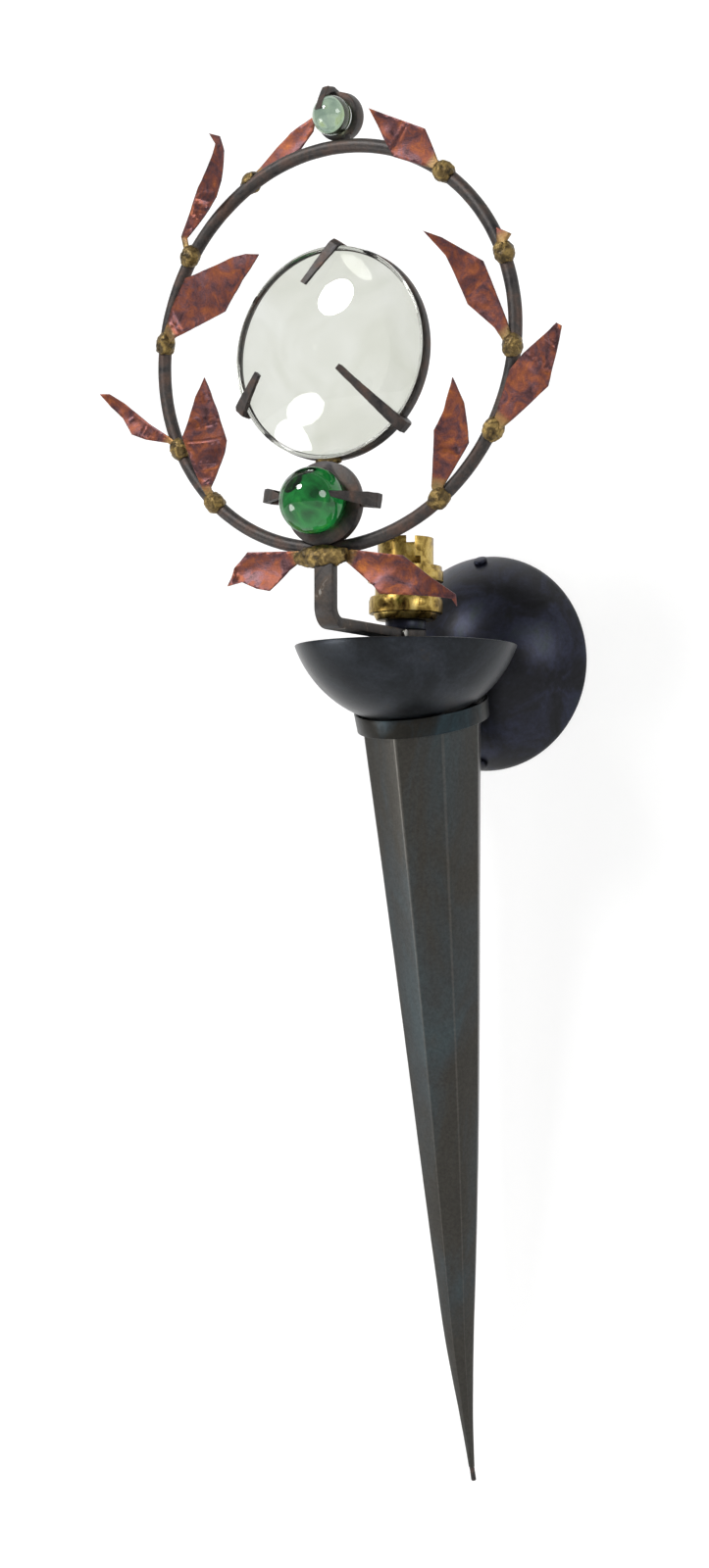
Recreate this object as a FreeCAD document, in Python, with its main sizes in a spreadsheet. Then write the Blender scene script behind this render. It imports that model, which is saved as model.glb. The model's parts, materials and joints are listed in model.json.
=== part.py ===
"""Torch sconce: a forged wall torch with a bowl, a lampholder and a leafy ring that carries glass.

Millimetres. The wall is the plane y = 0 and the room is towards -y, +z is up, and the origin is
the centre of the wall dome's rim. Angles are in degrees.
"""
import FreeCAD, Part
import Sketcher
import os
import re

from FreeCAD import Rotation, Vector

DOC = FreeCAD.newDocument("TorchSconce")
SHEET = DOC.addObject("Spreadsheet::Sheet", "Sizes")

SIZES = {
    # wall dome, its strap and its screws
    "dome_radius": 57.15,
    "dome_depth": 37.0,
    "dome_wall": 1.2,
    "strap_width": 16.0,
    "strap_half_height": 52.5,
    "strap_thickness": 2.5,
    "wall_hole_spacing": 50.8,
    "wall_hole_radius": 2.25,
    "cable_hole_radius": 5.0,
    "ear_thickness": 2.0,
    "ear_length": 11.0,
    "ear_reach": 6.0,
    "ear_gap": 2.0,
    "dome_screw_angle": 58.0,
    "dome_screw_radius": 2.0,
    "dome_screw_clearance": 0.2,
    "dome_screw_tail": 0.3,
    "dome_screw_head_radius": 3.6,
    "dome_screw_head_height": 2.2,
    "terminal_width": 20.0,
    "terminal_depth": 12.0,
    "terminal_height": 13.0,
    "terminal_rise": 8.0,
    "terminal_screw_radius": 2.1,
    "terminal_screw_height": 1.2,
    # arm between the dome and the torch
    "arm_radius": 6.35,
    "arm_wall": 1.5,
    "arm_drop": 38.0,
    # torch body, an octagonal spike
    "torch_top_y": -74.8,
    "torch_top_z": -43.2,
    "torch_tilt": 8.5,
    "torch_length": 380.5,
    "torch_radius": 30.6,
    "torch_wall": 1.6,
    "torch_rise": 6.0,
    "torch_flare": 0.07,
    "torch_bow": 4.9,
    "pin_length": 10.0,
    "pin_inside": 2.0,
    "pin_radius": 1.3,
    "pin_bend": 18.0,
    # collar strip round the top of the body
    "collar_y": -77.5,
    "collar_z": -25.5,
    "collar_tilt": 16.5,
    "collar_radius": 33.8,
    "collar_taper": 0.5,
    "collar_wall": 1.1,
    "collar_height": 9.5,
    # bowl and the stack of pieces on the threaded nipple
    "axis_y": -94.0,
    "bowl_rim_z": 2.5,
    "bowl_radius": 54.85,
    "bowl_depth": 39.0,
    "bowl_wall": 1.2,
    "nipple_radius": 5.0,
    "nipple_bore": 3.5,
    "nipple_end": 6.5,
    "nipple_tail": 2.0,
    "bridge_z": -47.0,
    "bridge_thickness": 3.0,
    "nut_width": 14.0,
    "nut_height": 4.0,
    "seat_radius": 9.0,
    "spacer_radius": 8.0,
    "lock_ring_radius": 10.0,
    "lock_ring_height": 5.0,
    # flat bar that carries the wreath
    "bar_width": 10.0,
    "bar_thickness": 5.0,
    "bar_z": 5.0,
    "bar_bend": 5.0,
    "bar_top_z": 41.4,
    "eye_radius": 10.0,
    "eye_clearance": 0.05,
    "earth_screw_radius": 2.2,
    "earth_screw_height": 1.4,
    "earth_screw_y": -105.5,
    # lampholder
    "base_bottom_radius": 14.4,
    "base_radius": 16.0,
    "base_taper_height": 3.1,
    "base_height": 11.8,
    "base_floor": 2.0,
    "clamp_radius": 18.2,
    "clamp_top_radius": 17.4,
    "clamp_step": 6.1,
    "barrel_radius": 13.8,
    "barrel_bore": 11.3,
    "barrel_skirt": 4.8,
    "barrel_height": 28.6,
    "flange_radius": 15.1,
    "flange_height": 3.6,
    "slot_width": 4.2,
    "slot_depth": 14.0,
    "slot_angle": 28.8,
    "slot_foot": 7.0,
    "shade_ring_radius": 18.6,
    "shade_ring_lip_radius": 17.9,
    "shade_ring_height": 5.5,
    "shade_ring_lip_height": 2.2,
    "shade_ring_rise": 6.9,
    "thread_clearance": 0.08,
    "insulator_drop": 4.0,
    "insulator_height": 13.0,
    "insulator_lid": 3.0,
    "chamber_radius": 3.0,
    "contact_spacing": 9.4,
    "contact_radius": 2.2,
    "contact_flange_radius": 2.85,
    "contact_flange_height": 2.0,
    "contact_height": 8.0,
    "contact_clearance": 0.08,
    "spring_radius": 2.4,
    "spring_wall": 0.6,
    # wreath ring
    "ring_y": -168.0,
    "ring_z": 135.3,
    "ring_radius": 92.9,
    "ring_rod": 3.175,
    # sheet leaves and the braze that holds them
    "leaf_thickness": 0.8,
    "leaf_seat": 0.03,
    "leaf_root": 3.2,
    "braze_radius": 4.8,
    "braze_half_length": 5.2,
    "stub_thickness": 1.6,
    "bar_braze_half_length": 13.5,
    "bar_braze_radius": 5.2,
    "bar_braze_drop": 4.6,
    "bar_braze_x": -2.5,
    # all claws start this far in front of their band's back
    "claw_lift": 0.4,
    # large lens
    "lens_z": 132.2,
    "lens_radius": 49.0,
    "lens_thickness": 15.0,
    "lens_dome": 11.0,
    "lens_bevel": 2.5,
    "bezel_back_y": -164.0,
    "bezel_depth": 5.0,
    "bezel_radius": 49.4,
    "bezel_width": 3.6,
    "bezel_braze_half_length": 6.5,
    "bezel_braze_radius": 2.5,
    # green marble under the lens
    "green_x": -2.6,
    "green_z": 62.6,
    "green_radius": 15.5,
    "green_back_y": -168.2,
    "green_band_depth": 4.0,
    "green_band_radius": 19.5,
    "green_band_width": 7.0,
    # small marble on top of the ring
    "top_x": 1.6,
    "top_z": 244.5,
    "top_radius": 9.0,
    "top_back_y": -160.0,
    "top_tilt": 12.0,
    "top_band_depth": 6.5,
    "top_band_radius": 11.0,
    "top_band_width": 3.5,
    "top_post_radius": 3.0,
    "top_post_x": 5.0,
    "top_post_y": -165.0,
}

# Claws: where the bend stands (clock angle and distance from the glass centre), which way the
# claw runs over the glass, how far, and how high its bend and its tip stand off the band's back.
CLAWS = {
    "lens_claw_top": dict(
        clock=84, bend_radius=50.1, heading=-125, reach=23.0, bend_height=9.0, tip_height=16.0,
        thickness=2.4, root_width=5.2, tip_width=2.8),
    "lens_claw_left": dict(
        clock=-153, bend_radius=51.4, heading=49, reach=20.4, bend_height=10.0, tip_height=15.6,
        thickness=2.8, root_width=5.2, tip_width=2.8),
    "lens_claw_right": dict(
        clock=-44, bend_radius=53.3, heading=134, reach=37.2, bend_height=8.5, tip_height=19.3,
        thickness=3.4, root_width=5.4, tip_width=2.8),
    "green_claw_right": dict(
        clock=-2, bend_radius=29.5, heading=172, reach=17.5, bend_height=8.0, tip_height=20.0,
        thickness=2.6, root_width=6.4, tip_width=2.4),
    "green_claw_left": dict(
        clock=170, bend_radius=28.5, heading=-8, reach=16.5, bend_height=8.0, tip_height=20.0,
        thickness=2.6, root_width=6.4, tip_width=2.4),
    "top_claw": dict(
        clock=99, bend_radius=12.3, heading=-88, reach=9.9, bend_height=11.0, tip_height=20.2,
        thickness=2.4, root_width=3.6, tip_width=3.2),
}

# Leaves: the root's clock angle on the ring and its distance out from the rod's centre line, the
# heading from root to tip, the length, and the radius that the sheet is bent to (minus: to the
# wall). Edge points are a share of the length and a distance to the side, from root to tip.
LEAVES = {
    "leaf_top_left": dict(
        clock=118, out=4.0, heading=38, length=43, bend=-300, tip=0,
        right=[(0.12, -2.0), (0.60, -7.5), (0.86, -5.0)],
        left=[(0.16, 1.5), (0.66, 2.5)]),
    "leaf_outer_left_high": dict(
        clock=146, out=0.3, heading=71, length=56, bend=180, tip=-1,
        right=[(0.14, 3.0), (0.52, -10.0), (0.66, -11.5), (0.89, -12.0), (0.99, -9.0)],
        left=[(0.14, 6.5), (0.57, 3.0), (0.93, -5.5)]),
    "leaf_inner_left_high": dict(
        clock=173, out=-1.8, heading=29, length=68, bend=240, tip=0,
        right=[(0.10, -1.0), (0.54, -8.0), (0.78, -2.5)],
        left=[(0.03, 5.0), (0.18, 12.0), (0.40, 17.5), (0.81, 8.5), (0.91, 5.0)]),
    "leaf_outer_left_low": dict(
        clock=-154, out=-1.2, heading=146, length=50, bend=200, tip=-1,
        right=[(0.16, -2.0), (0.42, -1.8), (0.76, -3.5), (0.92, -3.5)],
        left=[(0.13, 0.8), (0.36, 5.5), (0.50, 7.0), (0.68, 3.0), (0.84, 1.5)]),
    "leaf_inner_left_low": dict(
        clock=-133, out=-0.7, heading=90, length=58, bend=260, tip=0,
        right=[(0.12, 1.0), (0.38, -8.0), (0.48, -10.0), (0.88, -2.5)],
        left=[(0.12, 6.0), (0.26, 9.5), (0.55, 15.5), (0.86, 6.5)]),
    "leaf_bottom_left": dict(
        clock=-97, out=4.1, heading=-162, length=41, bend=220, tip=0,
        right=[(0.05, -3.0), (0.24, -6.0), (0.68, -12.5), (0.88, -7.5)],
        left=[(0.07, 1.5), (0.24, 3.5), (0.51, 10.0), (0.66, 6.5), (0.83, 0.4)]),
    "leaf_bottom_right": dict(
        clock=-85, out=4.2, heading=-26, length=59, bend=-220, tip=0,
        right=[(0.03, -2.5), (0.36, -7.0), (0.44, -9.0), (0.78, -1.0), (0.94, 2.2)],
        left=[(0.05, 3.5), (0.31, 8.0), (0.47, 11.0), (0.75, 7.0), (0.95, 4.6)]),
    "leaf_inner_right_low": dict(
        clock=-53, out=0.5, heading=78, length=53, bend=220, tip=0,
        right=[(0.11, -2.0), (0.49, -11.5), (0.81, -6.5)],
        left=[(0.09, 4.0), (0.55, 6.5), (0.72, 3.0)]),
    "leaf_outer_right": dict(
        clock=-29, out=3.2, heading=49, length=54, bend=240, tip=-0.5,
        right=[(0.04, -2.5), (0.35, -7.5), (0.56, -11.0)],
        left=[(0.30, 7.5), (0.46, 10.5), (0.63, 9.5), (0.99, 3.0)]),
    "leaf_inner_right_high": dict(
        clock=-6, out=-0.6, heading=125, length=64, bend=200, tip=0,
        right=[(0.14, -5.0), (0.58, -12.5), (0.89, -4.5)],
        left=[(0.17, 1.2), (0.42, 4.5), (0.78, -0.8)]),
    "leaf_top_right": dict(
        clock=51, out=0.4, heading=137, length=47, bend=240, tip=0,
        right=[(0.08, -1.5), (0.40, -9.0), (0.77, -3.5)],
        left=[(0.06, 1.5), (0.51, 9.5), (0.68, 6.5)]),
    "broken_leaf_stub": dict(
        clock=20, out=1.8, heading=107, length=11, bend=400, tip=0,
        right=[(0.27, -2.0), (0.50, -5.5)],
        left=[(0.50, 1.5)]),
}
LEAF_NUMBERS = ("clock", "out", "heading", "length", "bend")
BACK_LEAVES = ("leaf_top_left",)
BAR_LEAVES = ("leaf_bottom_left", "leaf_bottom_right")

# Sections of the torch: share of the length from the tip, share of the top radius, and the share
# of the bow by which the centre line stands out towards the room.
TORCH_SECTIONS = [
    (0.000, 0.052, 0.24),
    (0.033, 0.080, 0.42),
    (0.083, 0.130, 0.67),
    (0.185, 0.256, 1.00),
    (0.287, 0.368, 0.80),
    (0.389, 0.470, 0.58),
    (0.542, 0.608, 0.30),
    (0.796, 0.822, 0.08),
    (1.000, 1.000, 0.00),
]

# A braze bead's outline: shares of its radius and of its half length, from end to end.
BEAD = [(0.5, -1), (0.87, -0.6), (1, -0.2), (1, 0.2), (0.87, 0.6), (0.5, 1)]

for claw, numbers in CLAWS.items():
    SIZES.update({f"{claw}_{key}": number for key, number in numbers.items()})
for leaf, shape in LEAVES.items():
    SIZES.update({f"{leaf}_{key}": shape[key] for key in LEAF_NUMBERS})
for row, (alias, number) in enumerate(SIZES.items(), 1):
    SHEET.set(f"A{row}", alias)
    SHEET.set(f"B{row}", str(number))
    SHEET.setAlias(f"B{row}", alias)
DOC.recompute()

PARTS = {}
WORD = re.compile(r"[a-z_]\w*")


def linked(expression):
    """The expression with each size's name turned into a reference to its cell."""
    return WORD.sub(lambda m: f"Sizes.{m[0]}" if m[0] in SIZES else m[0], str(expression))


def value(expression):
    """The number that an expression of sizes has now."""
    result = SHEET.evalExpression(linked(expression))
    return float(getattr(result, "Value", result))


def bind(thing, **expressions):
    """Tie each named property of an object to an expression of sizes."""
    for prop, expression in expressions.items():
        thing.setExpression(prop, linked(expression))
    return thing


def place(thing, x=0, y=0, z=0, turn=None):
    """Stand an object at x, y, z, which may be expressions, turned by a rotation."""
    if turn is not None:
        thing.Placement.Rotation = turn
    for axis, expression in zip("xyz", (x, y, z)):
        thing.setExpression(f"Placement.Base.{axis}", linked(expression))
    return thing


def about(axis, expression):
    """A rotation about an axis by an expression in degrees."""
    return Rotation(axis, value(expression))


X_AXIS, Y_AXIS, Z_AXIS = Vector(1, 0, 0), Vector(0, 1, 0), Vector(0, 0, 1)
TO_ROOM = Rotation(X_AXIS, 90)
TO_WALL = Rotation(X_AXIS, -90)
SIDEWAYS = Rotation(Y_AXIS, 90)


def solid(kind, name, at=(0, 0, 0), turn=None, **sizes):
    """A primitive with its sizes and place tied to the sheet."""
    thing = bind(DOC.addObject(f"Part::{kind}", name), **sizes)
    return place(thing, *at, turn=turn)


def cylinder(name, radius, height, at=(0, 0, 0), turn=None):
    return solid("Cylinder", name, at, turn, Radius=radius, Height=height)


def box(name, length, width, height, at=(0, 0, 0), turn=None):
    return solid("Box", name, at, turn, Length=length, Width=width, Height=height)


def cut(name, base, *tools):
    """base with every tool taken away."""
    for number, tool in enumerate(tools):
        last = number == len(tools) - 1
        result = DOC.addObject("Part::Cut", name if last else f"{name}_cut_{number}")
        result.Base = base
        result.Tool = tool
        base = result
    return base


def common(name, first, second):
    result = DOC.addObject("Part::Common", name)
    result.Base = first
    result.Tool = second
    return result


def fuse(name, *things):
    result = DOC.addObject("Part::MultiFuse", name)
    result.Shapes = list(things)
    return result


def together(name, *things):
    """Separate pieces kept side by side in one group."""
    result = DOC.addObject("Part::Compound", name)
    result.Links = list(things)
    return result


def piece(thing):
    """Record a finished sub-part under its own name."""
    PARTS[thing.Label] = thing
    return thing


def plane(body, role):
    return next(f for f in body.Origin.OriginFeatures if f.Role == role)


def outline(body, name, role, points, offset="0"):
    """A closed sketch through points, each a pair of expressions, on one of the body's planes."""
    sketch = body.newObject("Sketcher::SketchObject", name)
    sketch.AttachmentSupport = (plane(body, role), [""])
    sketch.MapMode = "FlatFace"
    sketch.setExpression(".AttachmentOffset.Base.z", linked(offset))
    corners = [Vector(value(x), value(y), 0) for x, y in points]
    for start, end in zip(corners, corners[1:] + corners[:1]):
        sketch.addGeometry(Part.LineSegment(start, end), False)
    count = len(corners)
    for line in range(count):
        sketch.addConstraint(Sketcher.Constraint("Coincident", line, 2, (line + 1) % count, 1))
    for line, (pair, corner) in enumerate(zip(points, corners)):
        for kind, expression, number in zip(("DistanceX", "DistanceY"), pair, corner):
            index = sketch.addConstraint(Sketcher.Constraint(kind, -1, 1, line, 1, number))
            if WORD.search(str(expression)):
                sketch.setExpression(f"Constraints[{index}]", linked(expression))
    return sketch


def turned(name, points, at=(0, 0, 0), turn=None):
    """A body turned about its own z axis from a half profile of (radius, height) pairs."""
    body = DOC.addObject("PartDesign::Body", name)
    sketch = outline(body, f"{name}_profile", "XZ_Plane", points)
    feature = body.newObject("PartDesign::Revolution", f"{name}_revolution")
    feature.Profile = sketch
    feature.ReferenceAxis = (sketch, ["V_Axis"])
    feature.Angle = 360
    return place(body, *at, turn=turn)


def padded(name, points, height, role="XY_Plane", midplane=False, at=(0, 0, 0), turn=None):
    """A body made by padding a closed outline."""
    body = DOC.addObject("PartDesign::Body", name)
    sketch = outline(body, f"{name}_outline", role, points)
    feature = body.newObject("PartDesign::Pad", f"{name}_pad")
    feature.Profile = sketch
    bind(feature, Length=height)
    feature.Midplane = midplane
    return place(body, *at, turn=turn)


def ring(name, outer, inner, height, at=(0, 0, 0), turn=None):
    """A washer, strip ring or tube: a rectangle turned about z."""
    profile = [(inner, 0), (outer, 0), (outer, height), (inner, height)]
    return turned(name, profile, at, turn)


def bead(name, half_length, radius, at, turn):
    """A lump of braze run out round its own z axis, thickest in the middle."""
    profile = [(0, f"-{half_length}")]
    profile += [(f"{radius} * {across}", f"{half_length} * {along}") for across, along in BEAD]
    profile += [(0, half_length)]
    return turned(name, profile, at, turn)


def cup(name, radius, depth, wall):
    """A thin spherical cup with its rim on z = 0 and its pole at -depth, and its outer sphere."""
    sphere = f"(({radius})^2 + ({depth})^2) / (2 * ({depth}))"
    centre = f"{sphere} - ({depth})"
    ball = solid("Sphere", f"{name}_ball", (0, 0, centre), Radius=sphere)
    lower = box(f"{name}_lower", f"2 * {sphere}", f"2 * {sphere}", depth,
                at=(f"-1 * ({sphere})", f"-1 * ({sphere})", f"-1 * ({depth})"))
    inside = solid("Sphere", f"{name}_inside", (0, 0, centre), Radius=f"{sphere} - {wall}")
    cap = common(f"{name}_cap", ball, lower)
    return cut(f"{name}_shell", cap, inside)


# ---------------------------------------------------------------- wall dome and strap
DOME_SPHERE = "((dome_radius^2 + dome_depth^2) / (2 * dome_depth))"
DOME_CENTRE_Y = f"({DOME_SPHERE} - dome_depth)"


def dome_point(radius, side):
    """A point on a dome screw's axis, at a radius from the centre of the dome's sphere."""
    return (0, f"{DOME_CENTRE_Y} - ({radius}) * cos(dome_screw_angle)",
            f"{side} * ({radius}) * sin(dome_screw_angle)")


def dome_turn(side):
    """Turns z to a dome screw's outward direction."""
    return Rotation(X_AXIS, 90 - side * value("dome_screw_angle"))


def make_wall_side():
    shell = place(cup("dome", "dome_radius", "dome_depth", "dome_wall"), turn=TO_WALL)
    cable = cylinder("dome_cable_hole", "arm_radius - arm_wall", "2 * dome_depth",
                     at=(0, 0, "-1 * arm_drop"), turn=TO_ROOM)
    holes = [cylinder(f"dome_screw_hole_{n}", "dome_screw_radius + dome_screw_clearance",
                      "4 * ear_gap + 4 * dome_wall",
                      at=dome_point(f"{DOME_SPHERE} - 2 * ear_gap - 2 * dome_wall", side),
                      turn=dome_turn(side))
             for n, side in enumerate((1, -1))]
    dome = piece(cut("wall_dome", shell, cable, *holes))

    plate = box("strap_plate", "strap_width", "strap_thickness", "2 * strap_half_height",
                at=("-strap_width / 2", "-strap_thickness", "-strap_half_height"))
    ear_top = f"{DOME_SPHERE} - dome_wall - ear_gap"
    ears, threads, screws = [], [], []
    for n, side in enumerate((1, -1)):
        turn = dome_turn(side)
        _, y, z = dome_point(f"{ear_top} - ear_thickness", side)
        # the ear's plate runs along the tangent, from the wall to just past the screw
        slope_y = f"{side} * sin(dome_screw_angle)"
        slope_z = "cos(dome_screw_angle)"
        shift = f"({side} > 0 ? ear_reach : ear_length - ear_reach)"
        ears.append(box(f"ear_{n}", "strap_width", "ear_length", "ear_thickness",
                        at=("-strap_width / 2", f"({y}) - ({slope_y}) * {shift}",
                            f"({z}) - {slope_z} * {shift}"), turn=turn))
        threads.append(cylinder(f"ear_thread_{n}", "dome_screw_radius", "3 * ear_thickness",
                                at=dome_point(f"{ear_top} - 2 * ear_thickness", side), turn=turn))
        tip = f"{ear_top} - ear_thickness - dome_screw_tail"
        shank = cylinder(f"dome_screw_shank_{n}", "dome_screw_radius",
                         "ear_thickness + dome_screw_tail + ear_gap + dome_wall",
                         at=dome_point(tip, side), turn=turn)
        hole_rim = f"sqrt({DOME_SPHERE}^2 - (dome_screw_radius + dome_screw_clearance)^2)"
        head = cylinder(f"dome_screw_head_{n}", "dome_screw_head_radius", "dome_screw_head_height",
                        at=dome_point(hole_rim, side), turn=turn)
        screws.append(fuse(f"dome_screw_{n}", shank, head))
    wall_holes = [cylinder(f"wall_hole_{n}", "wall_hole_radius", "3 * strap_thickness",
                           at=(0, "strap_thickness", f"{side} * wall_hole_spacing / 2"),
                           turn=TO_ROOM)
                  for n, side in enumerate((1, -1))]
    lead = cylinder("strap_cable_hole", "cable_hole_radius", "3 * strap_thickness",
                    at=(0, "strap_thickness", 0), turn=TO_ROOM)
    strap = fuse("strap_blank", plate, *ears)
    piece(cut("mounting_strap", strap, *wall_holes, lead, *threads))
    piece(together("dome_screws", *screws))

    block = box("terminal_block", "terminal_width", "terminal_depth", "terminal_height",
                at=("-terminal_width / 2", "-strap_thickness - terminal_depth", "terminal_rise"))
    piece(block)
    heads = [cylinder(f"terminal_screw_{n}", "terminal_screw_radius", "terminal_screw_height",
                      at=(f"{side} * terminal_width / 4", "-strap_thickness - terminal_depth",
                          "terminal_rise + terminal_height / 2"), turn=TO_ROOM)
             for n, side in enumerate((-1, 1))]
    piece(together("terminal_screws", *heads))
    return dome


# ---------------------------------------------------------------- torch body
def torch_spike(name, inset):
    """The octagonal spike, drawn in from its surface by inset, as a loft in its own frame."""
    sections = []
    for n, (share, radius, bow) in enumerate(TORCH_SECTIONS):
        section = DOC.addObject("Part::RegularPolygon", f"{name}_section_{n}")
        section.Polygon = 8
        bind(section, Circumradius=f"max(torch_radius * {radius} - {inset}; 0.2)")
        place(section, 0, f"-torch_bow * {bow}", f"-torch_length * (1 - {share})")
        sections.append(section)
    rise = DOC.addObject("Part::RegularPolygon", f"{name}_rise")
    rise.Polygon = 8
    bind(rise, Circumradius=f"torch_radius + torch_flare * (torch_rise + collar_height) - {inset}")
    place(rise, 0, 0, "torch_rise + collar_height")
    sections.append(rise)
    loft = DOC.addObject("Part::Loft", name)
    loft.Sections = sections
    loft.Solid = True
    loft.Ruled = False
    return place(loft, 0, "torch_top_y", "torch_top_z", turn=about(X_AXIS, "torch_tilt"))


def make_torch():
    collar_turn = about(X_AXIS, "collar_tilt")
    foot = "collar_radius - collar_taper"
    collar = turned("collar_band", [
        ("collar_radius - collar_wall", 0), ("collar_radius", 0),
        (foot, "-collar_height"), (f"{foot} - collar_wall", "-collar_height")],
        at=(0, "collar_y", "collar_z"), turn=collar_turn)

    whole = torch_spike("torch_whole", "0")
    hollow = torch_spike("torch_hollow", "torch_wall")
    above = box("torch_above", "3 * collar_radius", "3 * collar_radius", "2 * collar_radius",
                at=("-1.5 * collar_radius",
                    "collar_y - 1.5 * collar_radius * cos(collar_tilt) + torch_rise * sin(collar_tilt)",
                    "collar_z - 1.5 * collar_radius * sin(collar_tilt) - torch_rise * cos(collar_tilt)"),
                turn=collar_turn)
    arm_bore = cylinder("torch_cable_hole", "arm_radius - arm_wall", "dome_radius",
                        at=(0, "torch_top_y + dome_radius", "-1 * arm_drop"), turn=TO_ROOM)
    piece(collar)
    body = piece(cut("torch_body", whole, hollow, above, arm_bore, collar))

    bow = f"(torch_bow * {TORCH_SECTIONS[0][2]})"
    pin = cylinder("tip_pin_rod", "pin_radius", "pin_length", turn=about(X_AXIS, "180 + pin_bend"))
    place(pin, 0, f"torch_top_y + torch_length * sin(torch_tilt) - {bow} * cos(torch_tilt)"
                  " - pin_inside * sin(pin_bend)",
          f"torch_top_z - torch_length * cos(torch_tilt) - {bow} * sin(torch_tilt)"
          " + pin_inside * cos(pin_bend)")
    piece(cut("tip_pin", pin, whole))

    slab = box("bridge_slab", "3 * torch_radius", "3 * torch_radius", "bridge_thickness",
               at=("-1.5 * torch_radius", "torch_top_y - 1.5 * torch_radius", "bridge_z"))
    bridge = common("bridge_blank", slab, torch_spike("bridge_edge", "torch_wall"))
    bore = cylinder("bridge_hole", "nipple_radius", "3 * bridge_thickness",
                    at=(0, "axis_y", "bridge_z - bridge_thickness"))
    piece(cut("bridge_plate", bridge, bore))
    return body


def make_arm(dome, body):
    """The tube that joins dome and torch, its ends cut to fit both."""
    tube = ring("arm_blank", "arm_radius", "arm_radius - arm_wall", "-torch_top_y",
                at=(0, 0, "-1 * arm_drop"), turn=TO_ROOM)
    ball = solid("Sphere", "dome_outer", (0, DOME_CENTRE_Y, 0), Radius=DOME_SPHERE)
    core = torch_spike("torch_core", "0")
    piece(cut("arm_tube", tube, ball, core))


# ---------------------------------------------------------------- bowl and nipple stack
def make_stack():
    shell = place(cup("bowl", "bowl_radius", "bowl_depth", "bowl_wall"), 0, "axis_y", "bowl_rim_z")
    hole = cylinder("bowl_hole", "nipple_radius", "4 * bowl_wall",
                    at=(0, "axis_y", "bowl_rim_z - bowl_depth - 2 * bowl_wall"))
    bowl = piece(cut("bowl", shell, hole))

    bar_top = "bar_z + bar_thickness"
    base_z = f"{bar_top} + lock_ring_height"
    low = "bridge_z - nut_height - nipple_tail"
    piece(ring("threaded_nipple", "nipple_radius", "nipple_bore",
               f"{base_z} + nipple_end - ({low})", at=(0, "axis_y", low)))

    nut = DOC.addObject("Part::Prism", "nut_hexagon")
    nut.Polygon = 6
    bind(nut, Circumradius="nut_width / 2 / cos(30)", Height="nut_height")
    place(nut, 0, "axis_y", "bridge_z - nut_height")
    thread = cylinder("nut_thread", "nipple_radius", "3 * nut_height",
                      at=(0, "axis_y", "bridge_z - 2 * nut_height"))
    piece(cut("nipple_nut", nut, thread))

    middle = "bowl_rim_z - bowl_depth + bowl_wall / 2"
    seat_bottom = "bridge_z + bridge_thickness"
    seat = ring("seat_blank", "seat_radius", "nipple_radius", f"{middle} - ({seat_bottom})",
                at=(0, "axis_y", seat_bottom))
    piece(cut("bowl_seat", seat, bowl))
    spacer = ring("spacer_blank", "spacer_radius", "nipple_radius", f"bar_z - ({middle})",
                  at=(0, "axis_y", middle))
    piece(cut("spacer_tube", spacer, bowl))
    piece(ring("lock_ring", "lock_ring_radius", "nipple_radius", "lock_ring_height",
               at=(0, "axis_y", bar_top)))


# ---------------------------------------------------------------- lampholder
def make_lampholder():
    base_z = "bar_z + bar_thickness + lock_ring_height"
    at_base = (0, "axis_y", base_z)
    piece(turned("lampholder_base", [
        ("nipple_radius", 0), ("base_bottom_radius", 0), ("base_radius", "base_taper_height"),
        ("base_radius", "base_height"), ("barrel_radius", "base_height"),
        ("barrel_radius", "base_floor"), ("nipple_radius", "base_floor")], at=at_base))
    piece(turned("clamp_ring", [
        ("base_radius", "base_taper_height"), ("clamp_radius", "base_taper_height"),
        ("clamp_radius", "base_taper_height + clamp_step"), ("clamp_top_radius", "base_height"),
        ("base_radius", "base_height")], at=at_base))

    flange = "barrel_skirt + flange_height"
    tube = turned("barrel_blank", [
        ("barrel_bore", 0), ("barrel_radius", 0), ("barrel_radius", "barrel_skirt"),
        ("flange_radius", "barrel_skirt"), ("flange_radius", flange), ("barrel_radius", flange),
        ("barrel_radius", "barrel_skirt + barrel_height"),
        ("barrel_bore", "barrel_skirt + barrel_height")])
    top = "barrel_skirt + barrel_height"
    slots = []
    for n, half in enumerate((0, 180)):
        turn = Rotation(Z_AXIS, value("slot_angle") - 90 + half)
        slots.append(box(f"slot_{n}", "2 * barrel_radius", "slot_width", "2 * slot_depth",
                         at=(0, 0, f"{top} - slot_depth")))
        slots[-1].Placement.Rotation = turn
        foot = box(f"slot_foot_{n}", "2 * barrel_radius", "slot_foot", "slot_width",
                   at=(0, 0, f"{top} - slot_depth"))
        foot.Placement.Rotation = turn
        slots.append(foot)
    barrel = cut("lampholder_barrel", tube, *slots)
    piece(place(barrel, 0, "axis_y", f"{base_z} + base_height - barrel_skirt"))

    ring_z = f"{base_z} + base_height + shade_ring_rise"
    inner = "barrel_radius + thread_clearance"
    piece(turned("shade_ring", [
        (inner, 0), ("shade_ring_radius", 0), ("shade_ring_radius", "shade_ring_height"),
        ("shade_ring_lip_radius", "shade_ring_height"),
        ("shade_ring_lip_radius", "shade_ring_height + shade_ring_lip_height"),
        (inner, "shade_ring_height + shade_ring_lip_height")], at=(0, "axis_y", ring_z)))

    make_contacts(f"{base_z} + base_height - insulator_drop")


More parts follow.
